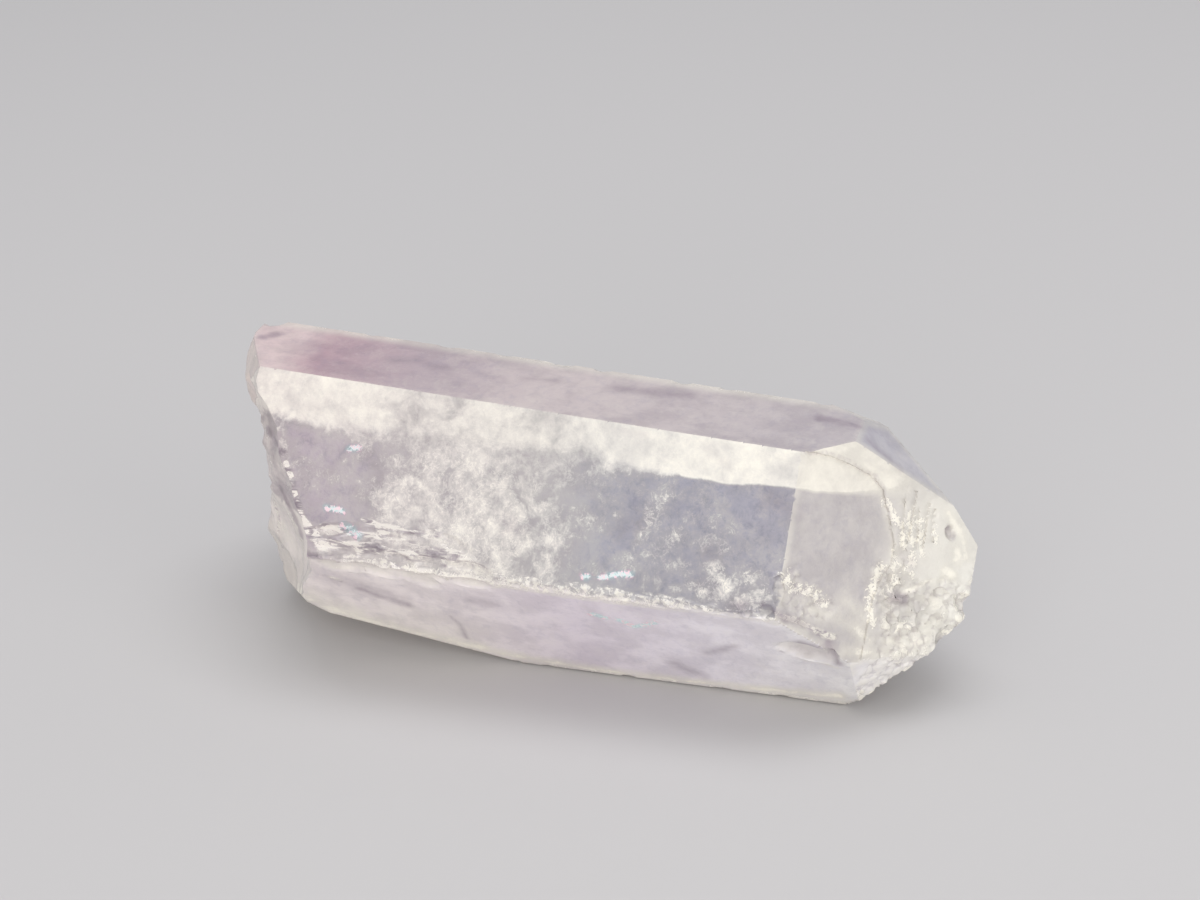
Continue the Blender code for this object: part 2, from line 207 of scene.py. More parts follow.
def dense_mesh(node):
    """The node's surface as an even mesh of small quads, with its edges kept sharp."""
    coarse = bpy.data.objects.new("coarse", node.data.copy())
    bpy.context.collection.objects.link(coarse)
    remesh = coarse.modifiers.new("remesh", "REMESH")
    remesh.mode = "VOXEL"
    remesh.voxel_size = VOXEL
    graph = bpy.context.evaluated_depsgraph_get()
    mesh = bpy.data.meshes.new_from_object(coarse.evaluated_get(graph))
    tree = BVHTree.FromObject(node, graph)
    bpy.data.objects.remove(coarse)
    sharpen(mesh, tree)
    return mesh


def read_points(mesh, value="co"):
    """Each point's place, or its "normal"."""
    values = np.empty(len(mesh.vertices) * 3)
    mesh.vertices.foreach_get(value, values)
    return values.reshape(-1, 3)


def write_points(mesh, points):
    mesh.vertices.foreach_set("co", points.ravel())
    mesh.update()


def edge_ends(mesh):
    ends = np.empty(len(mesh.edges) * 2, dtype=np.int64)
    mesh.edges.foreach_get("vertices", ends)
    return ends.reshape(-1, 2)


def sharpen(mesh, tree):
    """Moves each point to where the planes round it meet, so that edges come out straight."""
    found = [tree.find_nearest(vert.co) for vert in mesh.vertices]
    place = np.array([hit[0] for hit in found])
    normal = np.array([hit[1] for hit in found])
    a, b = edge_ends(mesh).T
    left = normal[:, :, None] * normal[:, None, :]
    right = np.einsum("ij,ij->i", normal, place)[:, None] * normal
    own = left.copy(), right.copy()
    for one, other in ((a, b), (b, a)):
        np.add.at(left, one, own[0][other])
        np.add.at(right, one, own[1][other])
    left += PLANE_HOLD * np.eye(3)
    right += PLANE_HOLD * place
    shift = np.linalg.solve(left, right[:, :, None])[:, :, 0] - place
    length = np.linalg.norm(shift, axis=1, keepdims=True)
    shift *= np.minimum(1, LONGEST_MOVE / np.maximum(length, 1e-12))
    write_points(mesh, place + shift)


def edge_distance(mesh):
    """How far each point is from the nearest sharp edge, in millimetres."""
    edges = bmesh.new()
    edges.from_mesh(mesh)
    sharp = set()
    limit = math.radians(SHARP_ANGLE)
    for edge in edges.edges:
        if len(edge.link_faces) == 2 and edge.calc_face_angle() > limit:
            sharp.update(vert.index for vert in edge.verts)
    edges.free()
    tree = KDTree(len(sharp))
    for index in sharp:
        tree.insert(mesh.vertices[index].co, index)
    tree.balance()
    return np.array([tree.find(vert.co)[2] for vert in mesh.vertices]) / MM


def waves(points, pitch, seed, octaves=3):
    """Smooth noise between about -1 and 1 that repeats roughly every pitch millimetres."""
    offset = Vector((seed * 17.3, seed * 5.7, seed * 11.1))
    places = (Vector(p) / pitch + offset for p in points)
    return np.array([noise.fractal(p, 1.0, 2.0, octaves) for p in places])


# ---- Marks -----------------------------------------------------------------------------

# How milky each face is by itself, and its tones at places along the crystal's
# axis, in millimetres.
FACE_LOOKS = {
    "top": (0.70, (
        (6, (240, 216, 214)), (10, (198, 165, 173)), (24, (200, 183, 187)),
        (38, (222, 208, 206)), (76, (206, 197, 198)),
    )),
    "front_upper": (0.42, (
        (5, (246, 228, 236)), (40, (218, 212, 218)), (50, (212, 212, 222)),
        (58, (197, 197, 211)), (72, (210, 208, 218)),
    )),
    "front_lower": (0.72, (
        (5, (255, 244, 240)), (30, (255, 246, 244)), (47, (242, 232, 240)),
        (62, (250, 244, 250)), (80, (255, 253, 251)),
    )),
    "resting": (0.70, ((10, (236, 226, 222)), (70, (240, 234, 228)))),
    "back_lower": (0.66, ((10, (222, 210, 216)), (70, (226, 220, 224)))),
    "back_upper": (0.68, ((10, (224, 208, 212)), (70, (234, 228, 222)))),
    "top end": (0.62, ((78, (206, 202, 210)), (91, (228, 226, 226)))),
    "front_upper end": (0.66, (
        (80, (202, 196, 194)), (85, (232, 228, 222)), (90, (254, 252, 244)),
    )),
    "front_lower end": (0.76, ((78, (253, 250, 250)), (91, (253, 250, 246)))),
    "resting end": (0.62, ((78, (228, 222, 222)), (91, (238, 234, 232)))),
    "back_lower end": (0.60, ((78, (222, 216, 220)), (91, (234, 230, 230)))),
    "back_upper end": (0.62, ((78, (226, 222, 220)), (91, (238, 236, 230)))),
}

# The bright stripe over the clear window, a painted reflection of light off the back faces,
# put in as milky white: its lower border as along, across and how frayed it is there, from
# the root to the tip.
REFLECTION_BANDS = {
    "front_upper": (
        (-2, 7.0, 0.3), (8, 6.4, 0.35), (12, 5.8, 0.2), (18, 5.2, 0.4), (24, 4.2, 1.0),
        (31, 4.6, 1.0), (38, 3.6, 1.0), (45, 4.8, 0.9), (51, 6.0, 0.25), (59, 6.2, 0.0),
        (66, 6.3, 0.0), (74, 6.6, 0.0),
    ),
    "front_upper end": (
        (0, 6.5, 0.0), (6, 6.8, 0.0), (11, 7.4, 0.1), (14, 7.6, 0.5), (18, 7.2, 0.8),
    ),
}
REFLECTION_REACH = 9.0         # mm from the border over which the painted reflection's value runs from 0 to 1

# Marks by kind: half width in millimetres, strength, and the line that each one
# follows over the crystal's surface, in the crystal's frame.
LINES = {
    # Clouds under the surface; the lines along the front lower face's lower edge are a painted
    # highlight.
    "milk_and_painted_light": (
        (3.20, 0.80, ((26.6, -10.8, 11.6), (24.9, -13.7, 6.7), (31.2, -11.3, 10.6))),
        (2.40, 0.85, ((24.9, -9.4, 14.1), (31, -8.6, 15.2), (38.7, -8.9, 14.5))),
        (3.00, 0.60, ((33.6, -13, 7.7), (39.4, -11.3, 10.4), (44.1, -10.3, 11.9))),
        (2.20, 0.80, ((25.3, -15.2, 4.2), (30.7, -15.9, 2.7), (35.9, -16.4, 1.7))),
        (1.60, 0.55, ((44.6, -12.1, 8.9), (47.7, -10, 12.3))),
        (1.50, 0.95, ((53.4, -15.6, 2.5), (60.4, -16, 1.4), (69.9, -15.7, 1.7))),
        (0.60, 1.00, ((84.7, -5.2, -1.3), (85.9, -3.8, -0.9), (87.1, -2.6, -0.8), (89, -0.8, -1))),
        (1.30, 0.90, ((88.3, 2.5, 6.3), (90.1, 2.7, 3.3), (90.9, 2.1, 0.9))),
        (1.20, 0.80, ((79.2, -12.8, -6.1), (82.1, -10.6, -6.5), (85.8, -7.8, -7.9),
            (87.8, -5.8, -7.8))),
        (1.60, 1.00, ((89.6, 1.3, 1.7), (90.1, 1.2, 0.7))),
        (1.30, 1.00, ((88.8, -0.5, -0.2), (89.6, 0, -0.7))),
        (2.00, 0.95, ((87.6, -3, -2.8), (89.4, -2.3, -4.3), (87.5, -4.9, -5.9))),
        (1.80, 0.90, ((84, -8.4, -5.8), (86.2, -6.9, -7), (87.7, -5.4, -7))),
        # These three lines are a painted highlight along the front lower face's lower edge.
        (2.60, 1.00, ((7.5, -7.8, -12), (11.6, -12.4, -10.2), (13.8, -11.5, -11.6),
            (16.3, -11, -12.4))),
        (1.70, 1.00, ((16.2, -10.8, -12.8), (21.3, -10.1, -13.9), (26.1, -9.5, -14.7),
            (32.5, -8.7, -15.8))),
        (1.00, 0.95, ((32.4, -8.5, -16.1), (42.7, -7.8, -16.9), (53.1, -7.5, -17),
            (65.8, -7.7, -16.1), (78.3, -8.2, -14.8))),
        (1.20, 0.90, ((6, -7.8, 17.5), (7.4, -9.6, 14.5), (9, -11.3, 11.4))),
        (1.40, 0.80, ((75.5, -13.2, -0.3), (78, -11.7, -1.9), (80.2, -10.5, -3.6),
            (82.1, -9.9, -5.2))),
        (4.00, 0.45, ((22, -11, -12), (30, -10.5, -12.5))),
        (1.50, 0.60, ((56.3, -16.3, 1.2), (59.2, -16, 1.5), (62.2, -15.9, 1.6), (66, -15.8, 1.8))),
        (1.30, 0.60, ((78.7, -10, -0.3), (80.7, -9.4, -2.7), (83, -9.2, -5.5))),
        (1.60, 0.60, ((55.2, -14.7, 3.9), (57.9, -13.6, 5.7), (60.6, -12.5, 7.5))),
        (1.60, 0.60, ((54, -15.8, 1.9), (60, -15.2, 3.2), (66, -14.7, 3.6), (69.8, -15.2, 2.5))),
        (1.60, 0.60, ((45.6, -15.5, 2.8), (50.4, -14.8, 3.8), (54, -14.8, 3.7))),
    ),
    # Thin veils, more broken up than the clouds.
    "wisp": (
        (1.63, 0.51, ((53.3, -15.2, 3.2), (54.8, -13.5, 6.1), (56.5, -12, 8.6), (56.8, -11, 10.3))),
        (1.78, 0.47, ((59.3, -15.2, 2.9), (61.6, -13.8, 5.2), (64, -12.7, 7.1))),
        (1.63, 0.44, ((62.4, -9.5, 12.6), (64, -11, 10), (65.8, -12.2, 7.9), (68, -12.6, 7),
            (70.9, -13.1, 6.1))),
        (2.08, 0.65, ((64.9, -14.1, 4.7), (65.7, -15.6, 2))),
        (1.63, 0.54, ((67.8, -14.5, 3.9), (69.4, -15.2, 2.5), (70.8, -15.6, 1.7))),
        (1.78, 0.41, ((49.8, -12.8, 7.4), (51.7, -14.3, 4.7), (51.3, -15.9, 1.9))),
        (1.49, 0.41, ((45.3, -14.4, 4.8), (48.7, -13.5, 6.2), (51.1, -12.2, 8.3))),
        (1.34, 0.68, ((57.4, -10.4, 11.3), (57.4, -10.7, 10.8))),
        (1.49, 0.58, ((30.4, -10.8, 11.5), (32.2, -11.7, 9.8), (31.7, -13.1, 7.5),
            (32.3, -13.8, 6.3))),
        (1.34, 0.65, ((34.2, -13.2, 7.2), (36.5, -13.3, 7), (37.9, -12.6, 8.1))),
        (1.49, 0.54, ((23.8, -10.1, 12.9), (26, -9, 14.7), (28.6, -9.3, 14.3),
            (27.4, -10.3, 12.5), (24.6, -10.7, 12))),
        (1.34, 0.54, ((29.1, -10.6, 11.9), (30.8, -11.4, 10.5), (32.2, -12.6, 8.4))),
        (1.49, 0.41, ((39.6, -7.7, 16.6), (41.9, -9.3, 13.8), (44.1, -10.3, 11.9), (44, -12.1, 8.8))),
        (1.19, 0.38, ((10.5, -7.2, 18.4), (10.5, -9.4, 14.6), (10.5, -11.6, 10.8))),
        (2.08, 0.41, ((78.8, -11.6, -3.2), (79.3, -10.6, -2.3), (79.8, -9.7, -1.6))),
    ),
    # Raised ribs, with painted shade in the gaps between them.
    "ledge": (
        (0.40, 1.00, ((13, -15.9, 3.3), (14.7, -16.4, 1.9), (15.9, -16.9, 0.9), (19.4, -17.1, 1),
            (23.6, -17.2, 0.7), (28.5, -17.1, 0.6), (31.8, -17.2, 0.4))),
        (0.38, 0.99, ((15.4, -15.9, 2.7), (18.3, -15.8, 2.6), (22.4, -16.1, 2.7),
            (25.8, -16.1, 2.5), (28.3, -16.5, 1.7))),
        (0.34, 0.88, ((20.4, -15.3, 4.1), (24.3, -15.3, 3.9), (27, -15.5, 3.5),
            (30.5, -15.5, 3.4), (33.4, -15.9, 2.7))),
        (0.36, 0.99, ((25.9, -17.2, 0.6), (29.6, -16.7, 1.4), (32.6, -16.2, 2.2), (36, -16.7, 1.1))),
        (0.30, 0.88, ((19.4, -17.7, 0), (23.5, -17.6, 0), (26.6, -17.4, -0.9))),
        (0.34, 0.94, ((29.9, -15, 4.1), (31.4, -15.9, 2.7), (31.2, -16.9, 0.9))),
        (0.30, 0.99, ((15.9, -15.7, -4.3), (17.1, -15.5, -4.6))),
        (0.34, 0.88, ((71.9, -16.3, 0.5), (74.5, -14.7, -1.3), (78.1, -12.6, -3.9))),
        (0.34, 0.55, ((71.8, -13.2, -6.5), (73.7, -12.8, -7.1), (75.6, -12.3, -7.9))),
        (0.30, 0.55, ((75, -12.9, -6.8), (76.8, -12.3, -7.8), (78.6, -11.8, -8.6))),
        (0.34, 0.99, ((9.6, -12.6, 9.1), (11, -14, 6.7), (12.2, -15, 4.9), (13.7, -16.4, 2.3),
            (15.3, -17.2, 0.5), (17.2, -17.6, 0.2))),
        (0.34, 0.88, ((2.6, -2.7, -2.3), (2.6, -1.7, -6.1), (1.9, 0.1, -11))),
        (0.44, 1.00, ((16.5, -17.1, 1.4), (20.5, -16.6, 1.9), (24.5, -16.9, 1.3),
            (28.5, -16.7, 1.5))),
        (0.40, 1.00, ((22.5, -15.6, 3.4), (26.5, -16.2, 2.4), (30.5, -16.4, 1.9),
            (34.5, -16.9, 0.9))),
    ),
    # White broken grains.
    "grain": (
        (0.90, 0.90, ((72.4, -13.7, 4.5), (73, -14.1, 2.5), (75.3, -12.4, 1.6), (77, -11.5, 0))),
        (0.75, 1.00, ((81.5, -2.3, 9), (82.7, -2.4, 7.3), (83.8, -2, 5.6), (84.1, -2.8, 4))),
        (0.65, 1.00, ((84.4, -0.8, 7), (85.1, -2.1, 3.8), (85.4, -3.4, 0.7))),
        (0.65, 1.00, ((85.7, -0.2, 6), (86.3, -1.7, 2.3))),
        (0.55, 0.90, ((86.9, 1, 5.5), (87.6, 0.1, 3.1))),
        (0.55, 0.85, ((83, -3.6, 3.8), (83.5, -4.1, 2.3), (84.4, -3.7, 1.4))),
        (0.80, 1.00, ((82.1, -5.4, 2.2), (81.4, -6.9, 0.6), (81.2, -8.3, -1.4), (81.9, -9.1, -3.3))),
        (0.70, 1.00, ((83.2, -4.9, 1.9), (84, -5, 0.4), (83.3, -6.1, -0.4))),
    ),
    # Lumpy ground.
    "rough": (
        (1.50, 0.95, ((72.7, -13.9, 3.6), (73.3, -14.2, 1.8), (74.8, -13.5, 0.5),
            (76.5, -12.2, -0.2))),
        (1.30, 0.80, ((82, -5.8, 1.7), (83.2, -5.9, 0.1), (82.9, -7, -1.3))),
    ),
    # Darker mauve patches, in part painted shade beside the ledges, the chips and the creases.
    "shade": (
        (1.90, 0.45, ((20.6, -11.5, 10.7), (21.9, -12.4, 9.1))),
        (1.60, 0.40, ((52.4, -13.5, 6.1), (54.5, -12.4, 7.9))),
        (1.50, 0.35, ((62.7, -15.5, 2.2), (64.3, -16, 1.4))),
        (1.20, 0.60, ((66.9, -16.5, 0.5), (67.9, -16.3, 0.7))),
        (1.20, 0.45, ((62.9, -13.7, 5.4), (64.2, -13.9, 4.9))),
        (1.60, 0.40, ((69.5, -10, 11.6), (71.9, -10.4, 10.8))),
        (1.60, 0.35, ((47.2, -14.5, 4.5), (45.6, -15.5, 2.8))),
        (1.20, 0.40, ((38.2, -13.8, 6.1), (39.6, -14.1, 5.4))),
        (0.35, 0.90, ((70.2, -16, 1.1), (71.7, -16.3, 0.6))),
        (0.45, 0.75, ((14.2, -18, -0.3), (17.1, -17.9, -0.5), (19.7, -17.9, -0.4),
            (22.3, -17.5, -1))),
        (0.50, 0.55, ((11.5, -12.5, -5.2), (15.3, -15.9, -4), (16.5, -14.9, -5.6))),
        (0.40, 0.50, ((20.4, -16.2, 1.9), (25.7, -16.5, 1.8), (29.5, -16.2, 2.2))),
        (0.50, 0.60, ((71.2, -16.2, 0.7), (73, -15.7, -0.3), (75.8, -14, -2.3))),
        (0.35, 0.70, ((70.9, -16, 1), (72.2, -16.2, 0.3), (73.1, -15.9, -0.8))),
        (0.90, 0.58, ((19.2, -14.7, -5.9), (21.6, -14, -7), (24.9, -13.4, -8))),
        (0.40, 0.50, ((30.3, -12.5, -9.3), (31.1, -11.6, -10.8), (31.4, -9.8, -13.9))),
        (1.10, 0.48, ((58.3, -9.8, -12.9), (59.9, -9.2, -13.8), (61.5, -8.6, -14.8))),
        (0.80, 0.45, ((62.9, -11.8, -9.1), (66.2, -12.9, -7.2))),
        (1.00, 0.42, ((33.8, -14.9, -5), (37.5, -14.6, -5.4))),
        (0.90, 0.25, ((44.5, -12.6, -8.5), (45.5, -10, -13))),
        (0.60, 1.00, ((77.7, -13.3, -4.4), (78.1, -12.2, -6.2), (78.8, -12.4, -7.5))),
        (0.90, 0.80, ((74.4, -14.1, -4.8), (77, -13.8, -5.2))),
        (1.50, 0.50, ((19.1, 0, 18.4), (21.9, 0.4, 18.3), (25.4, -0.2, 18.2))),
        (1.10, 0.42, ((36.2, 0.7, 17.9), (40, 1.2, 17.8))),
        (1.30, 0.52, ((47.6, 1.9, 17.5), (51.6, 2.1, 17.4), (56.4, 2.7, 17.2))),
        (0.90, 0.68, ((72.5, 2.2, 16.7), (74.9, 2.2, 16.6), (77.2, 1.4, 16.6))),
        (0.80, 0.75, ((1.6, 0.9, 19), (2.4, 2.1, 19))),
        (1.60, 0.20, ((12, -3.1, 18.6), (23.8, -2.8, 18.3), (36.8, -3.2, 17.9))),
        (0.70, 0.75, ((83.9, -6, -1.3), (85, -5.3, -2))),
        (0.80, 0.40, ((84.4, -3.3, 2.8), (85.2, -3, 1.7))),
        (0.45, 0.85, ((88.5, 1.9, 4.3), (89.1, 1.8, 3.4))),
        (0.70, 0.45, ((78.7, 0.2, 15.7), (80.8, 0.4, 13.9), (82.6, 0.7, 12.3))),
        (0.60, 0.80, ((5.4, -6, 1.6), (6.8, -6.7, -0.8), (9.2, -8.9, -3))),
        (0.45, 0.95, ((3.7, -4.8, 8.9), (5.7, -6.9, 8.5), (9.1, -12, 10.2))),
        (0.90, 0.30, ((49, -7.2, 17.2), (51.3, -7.5, 16.6), (53.5, -7.5, 16.5))),
        (0.80, 0.30, ((61.3, -7.6, 16.1), (62.7, -8, 15.3), (64.1, -8.4, 14.4))),
        (0.70, 0.30, ((26.7, -7.2, 18), (28.7, -7.4, 17.4), (29.9, -7.1, 18))),
        (0.80, 0.30, ((40.6, -7.1, 17.6), (42.7, -7.4, 16.9), (43.9, -7.1, 17.5))),
        (1.30, 0.50, ((73.5, -12.8, -6.3), (75.3, -12.3, -6.8), (77.5, -12.1, -7))),
        (1.60, 0.36, ((14.5, -15.4, -4.4), (19.9, -15, -5.2), (24.5, -14.1, -6.8))),
    ),
    # The step round the growth layer of the front upper end face, with painted shade along it.
    "groove": (
        (0.28, 0.80, ((72.8, -6.6, 16.6), (75.3, -5, 16), (77.5, -3.7, 14.4), (80, -2.2, 12.4),
            (81.3, -2.1, 10.5), (81.7, -2.4, 8.8), (82.3, -2.8, 7.2))),
    ),
    # Rainbow flecks.
    "fleck": (
        (0.54, 1.00, ((17.6, -11.2, 11.4), (18.6, -11, 11.6))),
        (0.49, 1.00, ((15.5, -14.9, 4.9), (16.6, -15, 4.8), (17.7, -15, 4.7))),
        (0.58, 1.00, ((18, -15.5, 3.1), (19.2, -15.7, 2.8), (20.1, -15.9, 2.5))),
        (0.49, 1.00, ((48.7, -16.2, 1.5), (49.3, -16.2, 1.6))),
        (0.43, 1.00, ((50.7, -16.1, 1.6), (52.1, -15.9, 1.9), (54.3, -15.6, 2.3))),
        (0.43, 1.00, ((49.3, -14.9, -4.4), (50.9, -14.6, -4.8))),
        (0.49, 1.00, ((52.4, -14.5, -4.9), (54.2, -13.9, -5.9), (56.7, -14.8, -4.3))),
    ),
}


def line_distance(points, line):
    """How far each point is from a line of straight pieces."""
    line = np.array(line)
    best = np.full(len(points), np.inf)
    for start, way in zip(line, np.diff(line, axis=0)):
        t = np.clip((points - start) @ way / (way @ way), 0, 1)
        best = np.minimum(best, np.linalg.norm(points - start - t[:, None] * way, axis=1))
    return best


def line_marks(points):
    """Each kind's value: its strength on its lines, and 0 from two half widths away."""
    found = {}
    for kind, lines in LINES.items():
        found[kind] = np.zeros(len(points))
        for width, strength, line in lines:
            value = strength * (1 - line_distance(points, line) / (2 * width))
            found[kind] = np.maximum(found[kind], value)
    return found


def nearest_faces(points):
    """The face that each point lies nearest to, and how far it is from all of them."""
    distances = np.array([np.abs(in_face(points, place)[2]) for place in FACES])
    bare = FACES.index("front_upper end")
    lowered = np.abs(in_face(points, FACES[bare])[2] + BARE_DEPTH)
    distances[bare] = np.minimum(distances[bare], lowered)
    return np.argmin(distances, axis=0), distances.min(axis=0)


def on_faces(closest, names, inside, outside):
    """One value on the named faces and another on the rest."""
    return np.where(np.isin(closest, [FACES.index(name) for name in names]), inside, outside)


def tints(points, closest):
    """Each point's tint, from the tones along its face."""
    tint = np.zeros_like(points)
    for index, place in enumerate(FACES):
        spots, tones = zip(*FACE_LOOKS[place][1])
        here = closest == index
        parts = [np.interp(points[here, 0], spots, part) for part in linear(tones).T]
        tint[here] = np.stack(parts, axis=1)
    return tint


def reflection_band_of(points, closest):
    """The painted reflection, 0.5 on its border, and how frayed it is there."""
    reflection_band = np.zeros(len(points))
    fray = np.zeros(len(points))
    for place, border in REFLECTION_BANDS.items():
        along, across, _ = in_face(points, place)
        spots, heights, frays = np.array(border).T
        here = closest == FACES.index(place)
        height = across - np.interp(along, spots, heights)
        reflection_band[here] = np.clip(0.5 + height / REFLECTION_REACH, 0, 1)[here]
        fray[here] = np.interp(along, spots, frays)[here]
    return reflection_band, fray


def near_edge(points, place, other, width):
    """1 on the edge between two faces, 0 from a width away from it."""
    gap = np.maximum(np.abs(in_face(points, place)[2]), np.abs(in_face(points, other)[2]))
    return 1 - step(0.0, width, gap)


def rough_ground(points, bend, on_end):
    """1 on the broken ground at the lower right of the front upper end face."""
    along, across, _ = in_face(points, "front_upper end")
    right = step(12.6, 13.8, along + 0.8 * bend[:, 0])
    low = 1 - step(-2.6, -0.6, across + 1.5 * bend[:, 1])
    return right * low * (on_end * (points[:, 1] < 3))


def crest_of(points):
    """1 on the rubbed front edge, which is cleaner at the root and towards the tip."""
    crest = near_edge(points, "front_upper", "front_lower", 2.3)
    crest = crest * step(8, 22, points[:, 0]) * (1 - 0.4 * step(52, 66, points[:, 0]))
    return np.maximum(crest, 0.6 * near_edge(points, "front_upper", "front_upper end", 0.35))


def rim_highlight_of(points, edge, on_end):
    """1 on the rims, where a highlight is painted: the top face's far edge, the front lower face's
    lower edge and the end faces' edges.
    """
    return np.maximum.reduce([
        near_edge(points, "top", "back_upper", 2.2),
        near_edge(points, "front_lower", "resting", 2.4),
        0.8 * (on_end * (1 - step(0.0, 1.2, edge))),
    ])


def marks_of(mesh, points):
    """What the finish needs to know at each point: values from 0 to 1, and the tint."""
    closest, off = nearest_faces(points)
    on_end = closest >= len(PRISM_FACES)
    edge = edge_distance(mesh)
    bend = np.stack([waves(points, 3.0, seed, 3) for seed in (21, 22, 23)], axis=1)
    reflection_band, fray = reflection_band_of(points + 0.25 * bend, closest)
    marks = {
        "haze": np.array([FACE_LOOKS[place][0] for place in FACES])[closest],
        "veiled": on_faces(closest, ["front_upper"], 1.0, 0.35),
        "milky": on_faces(closest, ["front_upper"], 0.53, 0.85),
        "mauve": on_faces(closest, ["top", "front_lower"], 1.0, 0.3),
        "reflection_band": reflection_band,
        "fray": fray,
        "broken": step(0.06, 0.20, off),
        "crest": crest_of(points),
        "rim_highlight": rim_highlight_of(points, edge, on_end),
        "edge": 1 - step(0.0, 0.7, edge),
        "frost": on_end.astype(float),
    }
    marks.update(line_marks(points + 0.30 * bend))
    ground = rough_ground(points, bend, on_end)
    marks["rough"] = np.maximum(ground, step(0.25, 0.6, marks["rough"]))
    marks["rise"], marks["lump"] = lumps(points, marks["rough"] > 0.02)
    return marks, tints(points + bend, closest)


# ---- Relief ------------------------------------------------------------------------------


def lumps(points, where):
    """How high each point is on its own lump, 0 to 1, and a value of the lump's own."""
    rise = np.ones(len(points))
    own = np.ones(len(points))
    noise.seed_set(LUMP_SEED)
    for index in np.flatnonzero(where):
        place = Vector(points[index]) / LUMP_PITCH
        place += 0.45 * noise.noise_vector(place * 1.3)
        distances, spots = noise.voronoi(place)
        rise[index] = 1 - (distances[0] / max(distances[1], 1e-6)) ** 2
        own[index] = noise.cell(spots[0] * 37.0)
    return rise, own


def roughen(mesh, points, marks):
    """Growth waves on the faces, and finer relief where the crystal is broken or rough.

    Heights are in millimetres. The mesh stays inside the CAD's box.
    """
    bands = waves(points * (1.0, 0.12, 0.12), 2.2, 12, 2)
    height = 0.010 * waves(points, 7.0, 1, 2) + 0.006 * bands
    height += marks["broken"] * (0.05 * waves(points, 1.6, 4, 3) + 0.02)
    height += marks["crest"] * 0.05 * waves(points, 0.9, 7, 3)
    height -= marks["edge"] * 0.03 * (0.6 + waves(points, 1.3, 6, 3))
    height += 0.055 * step(0.05, 0.80, marks["ledge"]) - 0.07 * step(0.2, 0.8, marks["groove"])
    height += marks["rough"] * (0.13 * marks["rise"] + 0.14 * marks["lump"] - 0.15)
    height += 0.07 * marks["grain"] * waves(points, 0.8, 8, 2)
    moved = read_points(mesh) + read_points(mesh, "normal") * (height * MM)[:, None]
    low, high = (np.array(corner) for corner in CAD_BOX)
    write_points(mesh, np.clip(moved, low, high))


# ---- Materials ---------------------------------------------------------------------------


class Nodes:
    """Short calls for building a node tree."""

    def __init__(self, name):
        self.material = bpy.data.materials.new(name)
        self.material.use_nodes = True
        self.tree = self.material.node_tree
        self.shader = self.tree.nodes["Principled BSDF"]
        self.output = self.tree.nodes["Material Output"]

    def add(self, kind, **settings):
        node = self.tree.nodes.new(kind)
        for key, value in settings.items():
            setattr(node, key, value)
        return node

    def put(self, socket, value):
        if isinstance(value, bpy.types.NodeSocket):
            self.tree.links.new(value, socket)
        else:
            socket.default_value = value

    def mark(self, name):
        return self.add("ShaderNodeAttribute", attribute_name=name).outputs["Fac"]

    def math(self, operation, a, b=0.0, clamp=False):
        node = self.add("ShaderNodeMath", operation=operation, use_clamp=clamp)
        self.put(node.inputs[0], a)
        self.put(node.inputs[1], b)
        return node.outputs[0]

    def plus(self, a, b):
        return self.math("ADD", a, b)

    def minus(self, a, b):
        return self.math("SUBTRACT", a, b)

    def times(self, a, b):
        return self.math("MULTIPLY", a, b)

    def greatest(self, *values):
        result = values[0]
        for value in values[1:]:
            result = self.math("MAXIMUM", result, value)
        return result

    def ramp(self, value, low, high, to_low=0.0, to_high=1.0):
        node = self.add("ShaderNodeMapRange", interpolation_type="SMOOTHSTEP")
        for socket, item in zip(node.inputs, (value, low, high, to_low, to_high)):
            self.put(socket, item)
        return node.outputs[0]

    def about(self, value, low, high):
        """The noise's play round its middle, with its ends at these values."""
        return self.ramp(value, 0.25, 0.75, low, high)

    def frayed(self, name, noise_value, amount, low, high):
        """The mark, thinned and broken up by the noise."""
        gain = self.plus(1 - amount / 2, self.times(noise_value, amount))
        return self.ramp(self.times(self.mark(name), gain), low, high)

    def mix(self, factor, a, b):
        node = self.add("ShaderNodeMix", data_type="RGBA")
        self.put(node.inputs[0], factor)
        self.put(node.inputs[6], a)
        self.put(node.inputs[7], b)
        return node.outputs[2]

    def place(self, scale):
        """Object coordinates, in units of 1 / scale millimetres."""
        spot = self.add("ShaderNodeTexCoord").outputs["Object"]
        node = self.add("ShaderNodeVectorMath", operation="MULTIPLY")
        self.put(node.inputs[0], spot)
        node.inputs[1].default_value = [s / MM for s in scale]
        return node.outputs[0]

    def noise(self, scale, detail, roughness, distortion=0.0, offset=0.0):
        node = self.add("ShaderNodeTexNoise", noise_dimensions="4D")
        self.put(node.inputs["Vector"], self.place(scale))
        self.put(node.inputs["W"], offset)
        self.put(node.inputs["Scale"], 1.0)
        self.put(node.inputs["Detail"], detail)
        self.put(node.inputs["Roughness"], roughness)
        self.put(node.inputs["Distortion"], distortion)
        return node.outputs["Fac"]


